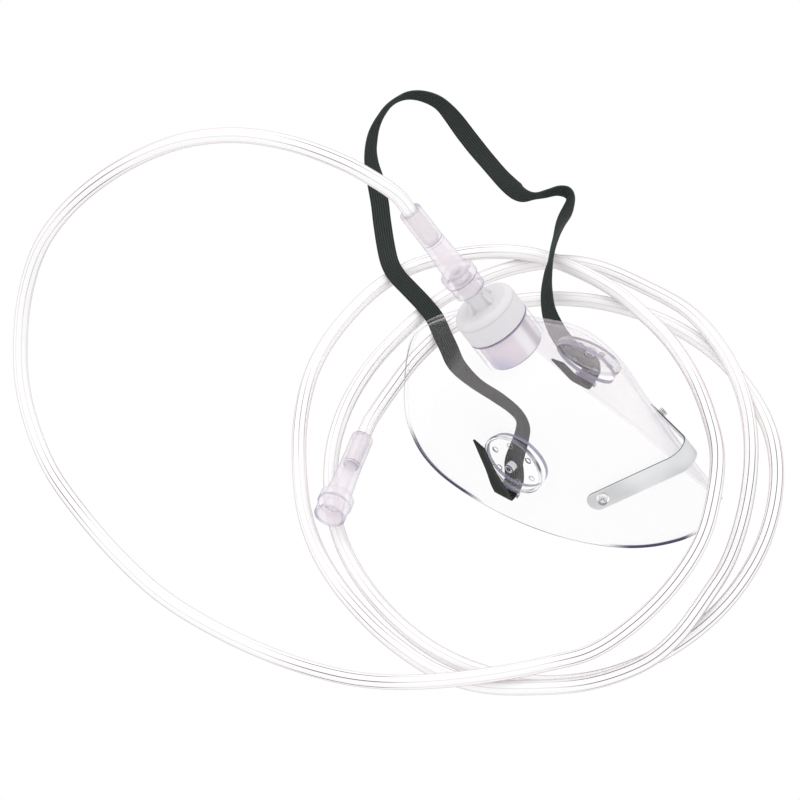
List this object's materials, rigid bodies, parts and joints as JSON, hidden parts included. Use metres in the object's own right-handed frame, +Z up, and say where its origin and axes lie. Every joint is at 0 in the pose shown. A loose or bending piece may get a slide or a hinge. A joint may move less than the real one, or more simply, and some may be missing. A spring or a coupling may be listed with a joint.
{
  "type": "oxygen face mask",
  "caption": "Clear soft oxygen face mask with round side vents, aluminium nose clip, frosted inlet adapter, coiled supply tube with end connectors and a black elastic head strap.",
  "frame": {"origin": "on the surface that the mask lies on, below the middle of the box round the mask and its head strap", "axes": "+X from the chin towards the nose, +Y towards the mask's cheek that lies by the strap's loop, +Z up"},
  "size_m": [0.3057, 0.2666, 0.1471],
  "materials": {
    "clear_vinyl": "clear glossy soft vinyl, faintly pink",
    "frosted_vinyl": "frosted, slightly see-through vinyl",
    "aluminium": "satin strip",
    "black_elastic": "ribbed black elastic"
  },
  "bodies": {
    "root": {"mask_shell": "clear_vinyl", "nose_clip": "aluminium", "inlet_adapter": "frosted_vinyl", "mask_end_cuff": "clear_vinyl", "oxygen_tube": "clear_vinyl", "supply_end_cuff": "clear_vinyl", "head_strap": "black_elastic"}
  },
  "joints": []
}
